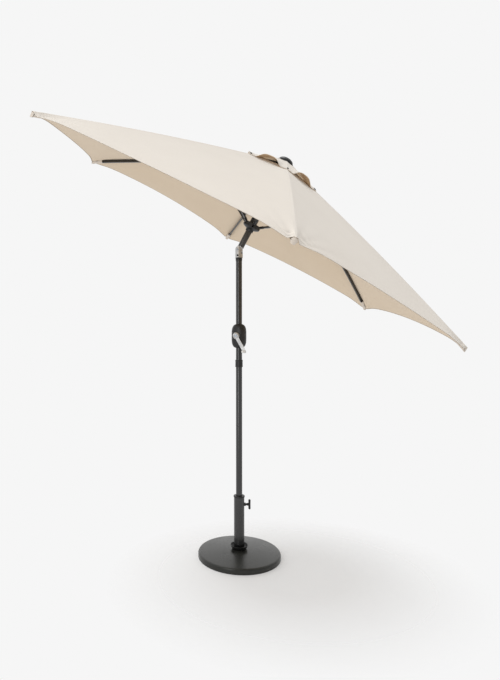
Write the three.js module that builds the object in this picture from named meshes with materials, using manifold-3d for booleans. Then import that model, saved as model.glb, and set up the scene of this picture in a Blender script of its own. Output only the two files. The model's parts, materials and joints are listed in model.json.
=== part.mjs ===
// Patio umbrella with a round weighted base: crank lift, push-button tilt, six ribs, vented top.
// Millimetres, +Z up. The origin is the centre of the base's underside. The canopy leans towards +X.
import * as THREE from "three";
import { mergeVertices } from "three/addons/utils/BufferGeometryUtils.js";
import Module from "manifold-3d";

// Gaps
const FIT = 0.3; // between pieces that touch
const RUN = 0.35; // around pieces that turn or slide

// Base and stand
const BASE_RADIUS = 250;
const BASE_RIM_HEIGHT = 34;
const BASE_CROWN_HEIGHT = 49;
const BASE_WALL = 4;
const PLATE_THICKNESS = 3;
const STAND_TUBE_RADIUS = 31.5;
const STAND_TUBE_WALL = 2.5;
const STAND_TUBE_TOP = 362;
const STAND_TOP = 372;
const POLE_SEAT_HEIGHT = 60;
const CLAMP_HEIGHT = 317;
const CLAMP_AZIMUTH = 26; // degrees from +X
const CLAMP_SCREW_RADIUS = 5;
const CLAMP_BAR_LENGTH = 62;
const CLAMP_BAR_RADIUS = 7;
const CLAMP_REACH = 63; // pole axis to T-bar axis

// Mast
const POLE_RADIUS = 19;
const POLE_WALL = 1.5;
const POLE_JOINT_HEIGHT = 1178;
const COLLAR_RADIUS = 23;
const COLLAR_LENGTH = 44;
const MAST_TOP = 1825;

// Crank
const CRANK_HEIGHT = 1346;
const HOUSING_RADIUS = 45;
const HOUSING_WALL = 3;
const HOUSING_STRAIGHT = 41; // half height of the upright part of its side
const HOUSING_END = 37.5; // height of each rounded end, measured to its pole
const HOUSING_FRONT = 41; // its flat face stands this far in front of the pole axis
const DRUM_RADIUS = 12; // the cord winds on this
const DRUM_FLANGE_RADIUS = 17;
const AXLE_RADIUS = 5;
const CRANK_BOSS_RADIUS = 20;
const CRANK_ARM_LENGTH = 112;
const CRANK_ARM_ANGLE = 29; // degrees from straight down towards +X
const GRIP_LENGTH = 34;
const GRIP_RADIUS = 8;

// Tilt joint
const TILT_HEIGHT = 1873;
const TILT_ANGLE = 30.7; // degrees from upright
const FORK_RADIUS = 20;
const SOCKET_RADIUS = 23.5;
const FORK_SLOT = 26;
const TILT_PIN_RADIUS = 5;
const BUTTON_RADIUS = 6;
const BUTTON_HEIGHT = 1838;
const BUTTON_PROUD = 4.5;

// Canopy frame. Heights along the canopy tube are measured from the tilt axis, radii from the tube's axis.
const RIB_COUNT = 6;
const TUBE_START = 24.3;
const HUB_HEIGHT = 540; // rib pivots
const HUB_RADIUS = 54;
const PIVOT_RADIUS = 40; // rib pivots on the hub and strut pivots on the runner
const PIN_RADIUS = 2.5;
const PIN_PLAY = 1.2; // radial, at a strut's outer eye
const RUNNER_HEIGHT = 165; // strut pivots
const RUNNER_TRAVEL = 100;
const RUNNER_SLEEVE_RADIUS = 23.5;
const RIB_WIDTH = 11;
const RIB_DEPTH = 19;
const RIB_WALL = 1.2;
const RIB_END = 1335;
const RIB_SLOPE = 0.309; // fall per radius at the hub
const RIB_BOW = 3.38e-5; // extra fall per radius squared, from the pull of the fabric
const BRACKET_RADIUS = 450; // where a strut meets its rib
const BRACKET_DROP = 19.5; // rib centre line to strut pin
const STRUT_WIDTH = 10;
const STRUT_DEPTH = 16;
const TONGUE_WIDTH = 8;
const SLOT_WIDTH = 9;
const PULLEY_HEIGHT = 500;
const PULLEY_RADIUS = 14;

// Fabric
const CANOPY_RADIUS = 1350;
const VENT_HOLE_RADIUS = 160;
const FABRIC_THICKNESS = 2;
const PANEL_SAG = 14; // middle of a panel below the straight line between its ribs
const RIM_SCALLOP = 30; // middle of the rim inside the straight line between its corners
const SEAM_GAP = 1.5;
const RIDGE_LIFT = 2.2; // the fabric rides this far above a rib's flat top where it folds over it
const VENT_RADIUS = 255;
const VENT_CORNER_HEIGHT = 490;
const VENT_CROWN_HEIGHT = 567;
const VENT_CROWN_RADIUS = 48;
const VENT_ARCH = 30;
const HUB_PLATE_RADIUS = 40;
const FINIAL_RADIUS = 50;
const FINIAL_DOME = 28;

const ROUND = 24; // sides of a round piece
const BASE_ROUND = 40; // sides of the base's own discs
const DEG = Math.PI / 180;

const wasm = await Module();
wasm.setup();

// ---------------------------------------------------------------- solids

function toSolid(geometry) {
  const source = geometry.index ? geometry.toNonIndexed() : geometry;
  const bare = new THREE.BufferGeometry();
  bare.setAttribute("position", source.getAttribute("position"));
  const merged = mergeVertices(bare, 1e-4);
  const index = merged.index.array;
  const triangles = [];
  for (let i = 0; i < index.length; i += 3) {
    const [a, b, c] = [index[i], index[i + 1], index[i + 2]];
    if (a !== b && b !== c && c !== a) triangles.push(a, b, c);
  }
  const mesh = (triVerts) =>
    new wasm.Mesh({
      numProp: 3,
      vertProperties: merged.attributes.position.array,
      triVerts: new Uint32Array(triVerts),
    });
  const made = new wasm.Manifold(mesh(triangles));
  return made.volume() > 0 ? made : new wasm.Manifold(mesh(triangles.reverse()));
}

function toGeometry(solid) {
  const mesh = solid.getMesh();
  const geometry = new THREE.BufferGeometry();
  geometry.setAttribute("position", new THREE.BufferAttribute(mesh.vertProperties, 3));
  geometry.setIndex(new THREE.BufferAttribute(mesh.triVerts, 1));
  return geometry;
}

function join(...pieces) {
  return toGeometry(pieces.map(toSolid).reduce((whole, next) => whole.add(next)));
}

function cut(piece, ...tools) {
  return toGeometry(tools.map(toSolid).reduce((whole, tool) => whole.subtract(tool), toSolid(piece)));
}

function common(piece, other) {
  return toGeometry(toSolid(piece).intersect(toSolid(other)));
}

// A solid of revolution about Z from a closed outline of [radius, height] points.
function lathe(outline, sides = ROUND) {
  const closed = [...outline, outline[0]].map(([radius, height]) => new THREE.Vector2(radius, height));
  return new THREE.LatheGeometry(closed, sides).rotateX(Math.PI / 2);
}

function ring(outer, inner, bottom, top, sides = ROUND) {
  return lathe(
    [
      [inner, bottom],
      [outer, bottom],
      [outer, top],
      [inner, top],
    ],
    sides,
  );
}

function rod(radius, bottom, top, sides = ROUND) {
  return new THREE.CylinderGeometry(radius, radius, top - bottom, sides)
    .rotateX(Math.PI / 2)
    .translate(0, 0, (bottom + top) / 2);
}

// A rod along Y through (x, z).
function crossRod(radius, yFrom, yTo, x, z, sides = 16) {
  return new THREE.CylinderGeometry(radius, radius, yTo - yFrom, sides).translate(x, (yFrom + yTo) / 2, z);
}

function block([x0, x1], [y0, y1], [z0, z1]) {
  return new THREE.BoxGeometry(x1 - x0, y1 - y0, z1 - z0).translate(
    (x0 + x1) / 2,
    (y0 + y1) / 2,
    (z0 + z1) / 2,
  );
}

// A plate in the XZ plane, centred on y = 0.
function plateXZ(shape, thickness, curveSegments = 8) {
  return new THREE.ExtrudeGeometry(shape, { depth: thickness, bevelEnabled: false, curveSegments })
    .translate(0, 0, -thickness / 2)
    .rotateX(Math.PI / 2);
}

// A rectangular tube swept along a path in the XZ plane.
function boxTube(path, width, depth, wall, steps) {
  const rectangle = (w, d) => [
    new THREE.Vector2(-w / 2, -d / 2),
    new THREE.Vector2(w / 2, -d / 2),
    new THREE.Vector2(w / 2, d / 2),
    new THREE.Vector2(-w / 2, d / 2),
  ];
  const section = new THREE.Shape(rectangle(width, depth));
  section.holes.push(new THREE.Path(rectangle(width - 2 * wall, depth - 2 * wall)));
  return new THREE.ExtrudeGeometry(section, { extrudePath: path, steps, bevelEnabled: false });
}

// A closed skin from a top and a bottom grid of points, both indexed [row][column].
function skin(top, bottom, wrap = false) {
  const rows = top.length;
  const columns = top[0].length;
  const positions = [];
  const quad = (a, b, c, d) => positions.push(...a, ...b, ...c, ...a, ...c, ...d);
  const last = wrap ? columns : columns - 1;
  for (let row = 0; row < rows - 1; row++) {
    for (let column = 0; column < last; column++) {
      const next = (column + 1) % columns;
      quad(top[row][column], top[row + 1][column], top[row + 1][next], top[row][next]);
      quad(bottom[row][column], bottom[row][next], bottom[row + 1][next], bottom[row + 1][column]);
    }
    if (!wrap) {
      quad(top[row][0], bottom[row][0], bottom[row + 1][0], top[row + 1][0]);
      const end = columns - 1;
      quad(top[row][end], top[row + 1][end], bottom[row + 1][end], bottom[row][end]);
    }
  }
  for (let column = 0; column < last; column++) {
    const next = (column + 1) % columns;
    const end = rows - 1;
    quad(top[0][column], top[0][next], bottom[0][next], bottom[0][column]);
    quad(top[end][column], bottom[end][column], bottom[end][next], top[end][next]);
  }
  const geometry = new THREE.BufferGeometry();
  geometry.setAttribute("position", new THREE.Float32BufferAttribute(positions, 3));
  return toGeometry(toSolid(geometry));
}

// ---------------------------------------------------------------- materials and placing

const MATERIALS = {
  base_resin: { color: 0x3d3e3c, roughness: 0.6, metalness: 0.0 },
  concrete: { color: 0x8d8a84, roughness: 0.95, metalness: 0.0 },
  steel_black: { color: 0x2b2b2c, roughness: 0.4, metalness: 0.4 },
  plastic_black: { color: 0x1c1c1d, roughness: 0.5, metalness: 0.0 },
  cast_silver: { color: 0xb9bbbd, roughness: 0.3, metalness: 0.9 },
  zinc: { color: 0xa8aaac, roughness: 0.35, metalness: 0.9 },
  grip_plastic: { color: 0xe9e9e6, roughness: 0.45, metalness: 0.0 },
  canopy_fabric: { color: 0xe6dccd, roughness: 0.9, metalness: 0.0 },
};

function piece(name, slot, geometry) {
  const mesh = new THREE.Mesh(geometry, new THREE.MeshStandardMaterial(MATERIALS[slot]));
  mesh.name = name;
  return mesh;
}

// ---------------------------------------------------------------- base and stand

// Height of the base's top face at a radius.
function crown(radius) {
  const edge = BASE_RADIUS - 10;
  const share = Math.min(1, (radius - 36) / (edge - 36));
  return BASE_CROWN_HEIGHT - (BASE_CROWN_HEIGHT - BASE_RIM_HEIGHT) * share ** 1.5;
}

function baseShell() {
  const hole = STAND_TUBE_RADIUS + FIT;
  const inner = BASE_RADIUS - BASE_WALL;
  return lathe(
    [
      [inner, 0],
      [BASE_RADIUS - 2, 0],
      [BASE_RADIUS, 2],
      [BASE_RADIUS, BASE_RIM_HEIGHT - 10],
      [BASE_RADIUS - 3, BASE_RIM_HEIGHT - 3],
      [BASE_RADIUS - 10, BASE_RIM_HEIGHT],
      [180, crown(180)],
      [110, crown(110)],
      [hole, crown(36)],
      [hole, crown(36) - BASE_WALL],
      [110, crown(110) - BASE_WALL],
      [BASE_RADIUS - 12, BASE_RIM_HEIGHT - BASE_WALL],
      [inner, BASE_RIM_HEIGHT - 10],
    ],
    BASE_ROUND,
  );
}

function baseBallast() {
  const hole = STAND_TUBE_RADIUS + FIT;
  const inner = BASE_RADIUS - BASE_WALL - 2 * FIT;
  const under = BASE_WALL + 2 * FIT;
  return lathe(
    [
      [hole, PLATE_THICKNESS + FIT],
      [inner, PLATE_THICKNESS + FIT],
      [inner, BASE_RIM_HEIGHT - 11],
      [BASE_RADIUS - 14, BASE_RIM_HEIGHT - under],
      [110, crown(110) - under],
      [hole, crown(36) - under],
    ],
    BASE_ROUND,
  );
}

function basePlate() {
  return rod(BASE_RADIUS - BASE_WALL - FIT, 0, PLATE_THICKNESS, BASE_ROUND);
}

function footCollar() {
  const bottom = BASE_CROWN_HEIGHT + FIT;
  const hole = STAND_TUBE_RADIUS + FIT;
  return lathe(
    [
      [hole, bottom],
      [40, bottom],
      [44, bottom + 5],
      [52, bottom + 20],
      [53, bottom + 24],
      [50, bottom + 24],
      [40, bottom + 8],
      [hole, bottom + 8],
    ],
    32,
  );
}

// Turns a rod that runs along Z from the pole axis outwards, to the clamp's direction and height.
function toClamp(geometry) {
  return geometry.rotateY(Math.PI / 2).rotateZ(CLAMP_AZIMUTH * DEG).translate(0, 0, CLAMP_HEIGHT);
}

function standPieces() {
  const clampHole = () => toClamp(rod(CLAMP_SCREW_RADIUS + RUN, 10, 60, 12));
  const outer = STAND_TUBE_RADIUS;
  const inner = outer - STAND_TUBE_WALL;
  const tubeBottom = PLATE_THICKNESS + FIT;
  const bore = POLE_RADIUS + RUN;
  const bush = lathe([
    [bore, 285],
    [inner - FIT, 285],
    [inner - FIT, STAND_TUBE_TOP + FIT],
    [outer + 2.5, STAND_TUBE_TOP + FIT],
    [outer + 2.5, STAND_TOP - 2],
    [outer + 1, STAND_TOP],
    [bore, STAND_TOP],
  ]);
  const seat = lathe([
    [0, POLE_SEAT_HEIGHT],
    [0, POLE_SEAT_HEIGHT - 4],
    [inner - 4, POLE_SEAT_HEIGHT - 4],
    [inner - 4, tubeBottom],
    [inner - FIT, tubeBottom],
    [inner - FIT, 110],
    [bore, 110],
    [bore, POLE_SEAT_HEIGHT],
  ]);
  const nut = cut(
    toClamp(rod(10.5, 20, outer + 8, 6)),
    rod(outer + FIT, CLAMP_HEIGHT - 20, CLAMP_HEIGHT + 20, 48),
    clampHole(),
  );
  return [
    piece("base_shell", "base_resin", baseShell()),
    piece("base_ballast", "concrete", baseBallast()),
    piece("base_plate", "steel_black", basePlate()),
    piece("foot_collar", "plastic_black", footCollar()),
    piece("stand_tube", "steel_black", cut(ring(outer, inner, tubeBottom, STAND_TUBE_TOP), clampHole())),
    piece("tube_bush", "plastic_black", cut(bush, clampHole())),
    piece("pole_seat", "plastic_black", seat),
    piece("clamp_nut", "steel_black", nut),
  ];
}

function clampPieces() {
  const half = CLAMP_BAR_LENGTH / 2;
  const bar = new THREE.CapsuleGeometry(CLAMP_BAR_RADIUS, CLAMP_BAR_LENGTH - 2 * CLAMP_BAR_RADIUS, 4, 14)
    .rotateX(Math.PI / 2)
    .rotateZ(CLAMP_AZIMUTH * DEG)
    .translate(
      CLAMP_REACH * Math.cos(CLAMP_AZIMUTH * DEG),
      CLAMP_REACH * Math.sin(CLAMP_AZIMUTH * DEG),
      CLAMP_HEIGHT,
    );
  const boss = toClamp(rod(half * 0.29, CLAMP_REACH - 14, CLAMP_REACH, 14));
  const screwEnd = CLAMP_REACH - 2;
  const handle = cut(join(bar, boss), toClamp(rod(CLAMP_SCREW_RADIUS + FIT, 20, screwEnd + FIT, 14)));
  return [
    piece("clamp_screw", "zinc", toClamp(rod(CLAMP_SCREW_RADIUS, POLE_RADIUS + FIT, screwEnd, 14))),
    piece("clamp_handle", "plastic_black", handle),
  ];
}

// ---------------------------------------------------------------- mast

function mastPieces() {
  const inner = POLE_RADIUS - POLE_WALL;
  const foot = POLE_SEAT_HEIGHT + FIT;
  const ferrule = lathe([
    [0, foot],
    [POLE_RADIUS, foot],
    [POLE_RADIUS, foot + 6],
    [inner - FIT, foot + 6],
    [inner - FIT, foot + 30],
    [inner - 3, foot + 30],
    [inner - 3, foot + 6],
    [0, foot + 6],
  ]);
  const cordSlot = block([-5, 5], [-30, 0], [CRANK_HEIGHT + 12, CRANK_HEIGHT + 40]);
  const half = COLLAR_LENGTH / 2;
  const collar = lathe([
    [POLE_RADIUS + FIT, POLE_JOINT_HEIGHT - half],
    [COLLAR_RADIUS - 1, POLE_JOINT_HEIGHT - half],
    [COLLAR_RADIUS, POLE_JOINT_HEIGHT - half + 2],
    [COLLAR_RADIUS, POLE_JOINT_HEIGHT + half - 2],
    [COLLAR_RADIUS - 1, POLE_JOINT_HEIGHT + half],
    [POLE_RADIUS + FIT, POLE_JOINT_HEIGHT + half],
  ]);
  const upper = ring(POLE_RADIUS, inner, POLE_JOINT_HEIGHT + FIT, MAST_TOP);
  return [
    piece("lower_pole", "steel_black", ring(POLE_RADIUS, inner, foot + 6 + FIT, POLE_JOINT_HEIGHT)),
    piece("upper_pole", "steel_black", cut(upper, cordSlot)),
    piece("pole_ferrule", "plastic_black", ferrule),
    piece("pole_spigot", "steel_black", ring(inner - FIT, inner - 2, 1105, 1255)),
    piece("pole_collar", "plastic_black", collar),
    ...housingPieces(),
    piece("tilt_socket", "cast_silver", tiltSocket()),
    piece("tilt_pin", "zinc", crossRod(TILT_PIN_RADIUS, -23, 23, 0, TILT_HEIGHT, 16)),
  ];
}

// A capsule about Z: straight sides with elliptical ends.
function capsule(radius, straight, end) {
  const steps = 4;
  const outline = [[0, CRANK_HEIGHT - straight - end]];
  for (let side = -1; side <= 1; side += 2) {
    for (let step = 0; step <= steps; step++) {
      const turn = ((side < 0 ? steps - step : step) / steps) * 90 * DEG;
      const radiusHere = radius * Math.cos(turn);
      if (radiusHere < 1e-6) continue;
      outline.push([radiusHere, CRANK_HEIGHT + side * (straight + end * Math.sin(turn))]);
    }
  }
  outline.push([0, CRANK_HEIGHT + straight + end]);
  return lathe(outline);
}

function housingPieces() {
  const wide = [-100, 100];
  const tall = [CRANK_HEIGHT - 100, CRANK_HEIGHT + 100];
  const front = HOUSING_FRONT;
  const outside = common(
    capsule(HOUSING_RADIUS, HOUSING_STRAIGHT, HOUSING_END),
    block(wide, [-front, 100], tall),
  );
  const inside = common(
    capsule(HOUSING_RADIUS - HOUSING_WALL, HOUSING_STRAIGHT - 2, HOUSING_END - 4),
    block(wide, [-front + HOUSING_WALL, 100], tall),
  );
  const bore = rod(POLE_RADIUS + FIT, ...tall);
  const axleHole = crossRod(AXLE_RADIUS + RUN, -60, -20, 0, CRANK_HEIGHT);
  const shell = cut(outside, inside, bore, axleHole);
  return [
    piece("crank_housing_front", "plastic_black", common(shell, block(wide, [-100, -FIT / 2], tall))),
    piece("crank_housing_rear", "plastic_black", common(shell, block(wide, [FIT / 2, 100], tall))),
  ];
}

function tiltSocket() {
  const outline = new THREE.Shape();
  outline.moveTo(-SOCKET_RADIUS, MAST_TOP + FIT);
  outline.lineTo(SOCKET_RADIUS, MAST_TOP + FIT);
  outline.lineTo(SOCKET_RADIUS, BUTTON_HEIGHT + 8);
  outline.lineTo(FORK_RADIUS, BUTTON_HEIGHT + 14);
  outline.lineTo(FORK_RADIUS, TILT_HEIGHT);
  outline.absarc(0, TILT_HEIGHT, FORK_RADIUS, 0, Math.PI, false);
  outline.lineTo(-FORK_RADIUS, BUTTON_HEIGHT + 14);
  outline.lineTo(-SOCKET_RADIUS, BUTTON_HEIGHT + 8);
  const barrel = rod(SOCKET_RADIUS, MAST_TOP + FIT, TILT_HEIGHT + FORK_RADIUS + 5, 32);
  const body = common(barrel, plateXZ(outline, 60));
  const spigot = ring(POLE_RADIUS - POLE_WALL - FIT, 12, MAST_TOP - 40, MAST_TOP + 1);
  const slotFloor = TILT_HEIGHT - FORK_RADIUS - 3;
  return cut(
    join(body, spigot),
    block([-40, 40], [-FORK_SLOT / 2, FORK_SLOT / 2], [slotFloor, TILT_HEIGHT + 40]),
    crossRod(TILT_PIN_RADIUS + FIT, -40, 40, 0, TILT_HEIGHT),
    crossRod(BUTTON_RADIUS + RUN, -40, -8, 0, BUTTON_HEIGHT),
    rod(6, MAST_TOP - 50, slotFloor + 1, 12),
  );
}

function buttonPiece() {
  const outer = -SOCKET_RADIUS - BUTTON_PROUD;
  const cap = new THREE.LatheGeometry(
    [
      [0, outer],
      [BUTTON_RADIUS - 1.5, outer],
      [BUTTON_RADIUS, outer + 1.5],
      [BUTTON_RADIUS, -13],
      [0, -13],
    ].map(([radius, y]) => new THREE.Vector2(radius, y)),
    16,
  ).translate(0, 0, BUTTON_HEIGHT);
  return piece("tilt_button", "plastic_black", toGeometry(toSolid(cap)));
}

// ---------------------------------------------------------------- crank

const ARM_FRONT = -HOUSING_FRONT - 15;
const ARM_BACK = ARM_FRONT + 8;

function latheY(outline, x, z, sides = ROUND) {
  const points = [...outline, outline[0]].map(([radius, y]) => new THREE.Vector2(radius, y));
  return toGeometry(toSolid(new THREE.LatheGeometry(points, sides).translate(x, 0, z)));
}

function crankPieces() {
  const back = -POLE_RADIUS - 2.5;
  const drum = latheY(
    [
      [0, back],
      [DRUM_FLANGE_RADIUS, back],
      [DRUM_FLANGE_RADIUS, back - 2],
      [DRUM_RADIUS, back - 3],
      [DRUM_RADIUS, back - 12],
      [DRUM_FLANGE_RADIUS, back - 13],
      [DRUM_FLANGE_RADIUS, back - 15],
      [AXLE_RADIUS, back - 15],
      [AXLE_RADIUS, ARM_FRONT + 4],
      [0, ARM_FRONT + 4],
    ],
    0,
    CRANK_HEIGHT,
  );
  return [piece("crank_drum", "zinc", drum), piece("crank_arm", "cast_silver", crankArm())];
}

// The arm is drawn straight down from the axle, with its fins across it, and then swung to its angle.
function crankArm() {
  const boss = latheY(
    [
      [0, ARM_FRONT - 2],
      [CRANK_BOSS_RADIUS - 5, ARM_FRONT - 2],
      [CRANK_BOSS_RADIUS, ARM_FRONT + 2],
      [CRANK_BOSS_RADIUS, -HOUSING_FRONT - 1.5],
      [0, -HOUSING_FRONT - 1.5],
    ],
    0,
    0,
    28,
  );
  const outline = new THREE.Shape();
  outline.moveTo(11, 0);
  outline.lineTo(-11, 0);
  outline.lineTo(-8.5, -CRANK_ARM_LENGTH);
  outline.absarc(0, -CRANK_ARM_LENGTH, 8.5, Math.PI, 2 * Math.PI, false);
  const blade = plateXZ(outline, 8).translate(0, ARM_FRONT + 4, 0);
  const fins = [];
  for (let z = 28; z <= CRANK_ARM_LENGTH - 16; z += 11) {
    fins.push(block([-7.5, 7.5], [ARM_FRONT - 1.5, ARM_FRONT + 1], [-z - 2.5, -z + 2.5]));
  }
  const stud = crossRod(4, ARM_FRONT - GRIP_LENGTH + 6, ARM_FRONT + 1, 0, -CRANK_ARM_LENGTH);
  const whole = join(boss, blade, ...fins, stud);
  const bored = cut(whole, crossRod(AXLE_RADIUS + FIT, ARM_FRONT + 4 - FIT, 0, 0, 0, ROUND));
  return bored.rotateY(-CRANK_ARM_ANGLE * DEG).translate(0, 0, CRANK_HEIGHT);
}

function gripPiece() {
  const inner = ARM_FRONT - RUN - 1;
  const outer = inner - GRIP_LENGTH;
  const grip = latheY(
    [
      [0, outer],
      [GRIP_RADIUS - 3, outer],
      [GRIP_RADIUS, outer + 4],
      [GRIP_RADIUS - 1, inner - 8],
      [GRIP_RADIUS - 0.5, inner],
      [4 + RUN, inner],
      [4 + RUN, outer + 5],
      [0, outer + 5],
    ],
    CRANK_ARM_LENGTH * Math.sin(CRANK_ARM_ANGLE * DEG),
    CRANK_HEIGHT - CRANK_ARM_LENGTH * Math.cos(CRANK_ARM_ANGLE * DEG),
    20,
  );
  return piece("crank_grip", "grip_plastic", grip);
}

// ---------------------------------------------------------------- canopy tube, hub and runner

function knuckle() {
  const reach = TUBE_START - FIT;
  const tongueWidth = FORK_SLOT - 2 * FIT;
  const tongue = crossRod(FORK_RADIUS - 1.5, -tongueWidth / 2, tongueWidth / 2, 0, 0, 28);
  const neck = block([-14, 14], [-tongueWidth / 2, tongueWidth / 2], [0, reach - 1]);
  const shoulder = rod(SOCKET_RADIUS - 1, FORK_RADIUS + 0.8, reach, 32);
  const spigot = rod(POLE_RADIUS - POLE_WALL - FIT, reach - 1, reach + 46);
  return cut(join(tongue, neck, shoulder, spigot), crossRod(TILT_PIN_RADIUS + RUN, -30, 30, 0, 0));
}

// Six radial slots, each with its cross pin left standing, cut into a collar on the canopy tube.
function slotted(collar, pivotHeight, slotBottom, slotTop) {
  const slots = [];
  const pins = [];
  for (let index = 0; index < RIB_COUNT; index++) {
    const turn = index * 60 * DEG;
    const half = SLOT_WIDTH / 2;
    slots.push(block([PIVOT_RADIUS - 11, 100], [-half, half], [slotBottom, slotTop]).rotateZ(turn));
    pins.push(crossRod(PIN_RADIUS, -half - 2, half + 2, PIVOT_RADIUS, pivotHeight, 8).rotateZ(turn));
  }
  return join(cut(collar, ...slots), ...pins);
}

function topHub() {
  const bore = POLE_RADIUS + FIT;
  const collar = lathe(
    [
      [bore, HUB_HEIGHT - 18],
      [HUB_RADIUS - 6, HUB_HEIGHT - 18],
      [HUB_RADIUS, HUB_HEIGHT - 12],
      [HUB_RADIUS, HUB_HEIGHT + 16],
      [HUB_RADIUS - 4, HUB_HEIGHT + 20],
      [6 + FIT, HUB_HEIGHT + 20],
      [6 + FIT, HUB_HEIGHT + 10],
      [bore, HUB_HEIGHT + 10],
    ],
  );
  return slotted(collar, HUB_HEIGHT, HUB_HEIGHT - 30, HUB_HEIGHT + 12);
}

function runner() {
  const bore = POLE_RADIUS + RUN;
  const bottom = TUBE_START + RUNNER_TRAVEL + 0.7;
  const collar = lathe(
    [
      [bore, bottom],
      [RUNNER_SLEEVE_RADIUS, bottom],
      [RUNNER_SLEEVE_RADIUS + 1, RUNNER_HEIGHT - 26],
      [HUB_RADIUS - 6, RUNNER_HEIGHT - 17],
      [HUB_RADIUS, RUNNER_HEIGHT - 11],
      [HUB_RADIUS, RUNNER_HEIGHT + 9],
      [HUB_RADIUS - 6, RUNNER_HEIGHT + 12],
      [RUNNER_SLEEVE_RADIUS, RUNNER_HEIGHT + 12],
      [RUNNER_SLEEVE_RADIUS, RUNNER_HEIGHT + 42],
      [bore, RUNNER_HEIGHT + 42],
    ],
  );
  return slotted(collar, RUNNER_HEIGHT, RUNNER_HEIGHT - 11, RUNNER_HEIGHT + 30);
}

function finial() {
  const flange = VENT_CROWN_HEIGHT + FIT;
  const outline = [
    [0, HUB_HEIGHT - 5],
    [6, HUB_HEIGHT - 5],
    [6, flange],
    [FINIAL_RADIUS - 1, flange],
    [FINIAL_RADIUS, flange + 1.5],
    [FINIAL_RADIUS - 1, flange + 3],
  ];
  for (let step = 0; step < 5; step++) {
    const turn = (step / 5) * 90 * DEG;
    const height = 3.5 + (FINIAL_DOME - 3.5) * Math.sin(turn);
    outline.push([(FINIAL_RADIUS - 5) * Math.cos(turn), flange + height]);
  }
  outline.push([0, flange + FINIAL_DOME]);
  return lathe(outline, 28);
}

function canopyPolePieces() {
  const inner = POLE_RADIUS - POLE_WALL;
  const tube = cut(
    ring(POLE_RADIUS, inner, TUBE_START, HUB_HEIGHT + 9),
    crossRod(2.5 + FIT, -30, 30, 0, PULLEY_HEIGHT, 12),
  );
  const plateBottom = HUB_HEIGHT + 20 + FIT;
  const plateTop = VENT_CROWN_HEIGHT - FABRIC_THICKNESS - FIT;
  return [
    piece("tilt_knuckle", "cast_silver", knuckle()),
    piece("canopy_tube", "steel_black", tube),
    piece("top_hub", "plastic_black", topHub()),
    piece("hub_plate", "plastic_black", ring(HUB_PLATE_RADIUS, 6 + FIT, plateBottom, plateTop)),
    piece("finial", "plastic_black", finial()),
    piece("pulley_pin", "zinc", crossRod(2.5, -POLE_RADIUS + 0.2, POLE_RADIUS - 0.2, 0, PULLEY_HEIGHT, 12)),
    piece("vent_canopy", "canopy_fabric", ventCanopy()),
  ];
}

function pulleyPiece() {
  const wheel = latheY(
    [
      [2.5 + RUN, -4],
      [PULLEY_RADIUS, -4],
      [PULLEY_RADIUS, -3],
      [PULLEY_RADIUS - 4, -1],
      [PULLEY_RADIUS - 4, 1],
      [PULLEY_RADIUS, 3],
      [PULLEY_RADIUS, 4],
      [2.5 + RUN, 4],
    ],
    0,
    PULLEY_HEIGHT,
  );
  return piece("top_pulley", "plastic_black", wheel);
}

// ---------------------------------------------------------------- ribs and struts

// Height of a rib's centre line at a radius.
function ribHeight(radius) {
  const out = radius - PIVOT_RADIUS;
  return HUB_HEIGHT - RIB_SLOPE * out - RIB_BOW * out * out;
}

function ribFall(radius) {
  return RIB_SLOPE + 2 * RIB_BOW * (radius - PIVOT_RADIUS);
}

// The part of a rib's centre line between two radii, which is a parabola.
function ribPath(from, to) {
  const middle = (from + to) / 2;
  return new THREE.QuadraticBezierCurve3(
    new THREE.Vector3(from, 0, ribHeight(from)),
    new THREE.Vector3(middle, 0, ribHeight(from) - ribFall(from) * (middle - from)),
    new THREE.Vector3(to, 0, ribHeight(to)),
  );
}

// A tongue along +X from the origin, with its eye round the origin, wider where it plugs into a tube.
function tongue(eyeRadius, length, plugDepth, plugWidth) {
  const eye = crossRod(eyeRadius, -TONGUE_WIDTH / 2, TONGUE_WIDTH / 2, 0, 0, 12);
  const half = TONGUE_WIDTH / 2;
  const neck = block([0, length], [-half, half], [-eyeRadius * 0.85, eyeRadius * 0.85]);
  const plug = block(
    [length - 16, length],
    [-plugWidth / 2, plugWidth / 2],
    [-plugDepth / 2, plugDepth / 2],
  );
  return join(eye, neck, plug);
}

function ribPiece(number) {
  const start = PIVOT_RADIUS + 24;
  const tube = boxTube(ribPath(start, RIB_END), RIB_WIDTH, RIB_DEPTH, RIB_WALL, 7);
  const end = tongue(9, 42, RIB_DEPTH - RIB_WALL, RIB_WIDTH - RIB_WALL)
    .rotateY(Math.atan(ribFall(start)))
    .translate(PIVOT_RADIUS, 0, HUB_HEIGHT);
  const eye = crossRod(PIN_RADIUS + RUN, -20, 20, PIVOT_RADIUS, HUB_HEIGHT, 8);
  return piece(`rib_${number}`, "steel_black", cut(join(tube, end), eye));
}

// The bracket is drawn level, below a rib along X, and then set on the rib.
function bracketPiece(number) {
  const inner = RIB_WIDTH / 2 + 2 * FIT;
  const outer = inner + 2.4;
  const low = -BRACKET_DROP - 7;
  const cheek = (side) => block([-17, 17], side > 0 ? [inner, outer] : [-outer, -inner], [low, 3]);
  const underRib = -RIB_DEPTH / 2 - 2 * FIT;
  const web = block([-17, 17], [-outer, outer], [underRib - 1.4, underRib]);
  const pin = crossRod(PIN_RADIUS, -outer - 1.5, outer + 1.5, 0, -BRACKET_DROP, 8);
  const bracket = join(cheek(1), cheek(-1), web, pin)
    .rotateY(Math.atan(ribFall(BRACKET_RADIUS)))
    .translate(BRACKET_RADIUS, 0, ribHeight(BRACKET_RADIUS));
  return piece(`rib_bracket_${number}`, "plastic_black", bracket);
}

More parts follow.
